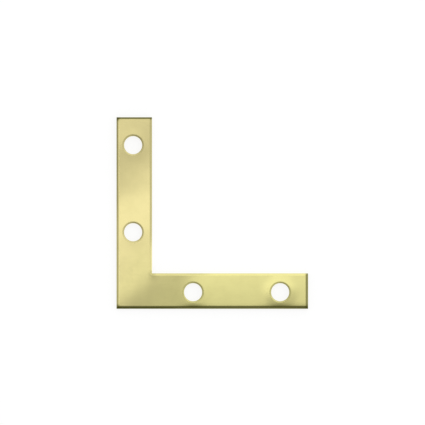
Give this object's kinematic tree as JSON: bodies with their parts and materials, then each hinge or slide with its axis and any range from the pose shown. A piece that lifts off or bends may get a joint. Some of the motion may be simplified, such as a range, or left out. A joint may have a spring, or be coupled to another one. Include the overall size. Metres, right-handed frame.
{
  "type": "flat corner brace",
  "caption": "Flat L-shaped corner brace stamped from brass-plated sheet, with rolled front edges and plain punched screw holes along both legs, for holding a frame's corner square.",
  "frame": {"origin": "the outer corner of the L on its back face, where the two outer edges meet", "axes": "+X along one leg, +Y along the other, +Z out of the front face with the rolled edges"},
  "size_m": [0.0508, 0.0508, 0.0018],
  "materials": {
    "brass_plating": "bright brass plating over steel, softly polished, a little darker on the sheared edges"
  },
  "bodies": {
    "root": {"corner_brace": "brass_plating"}
  },
  "joints": []
}
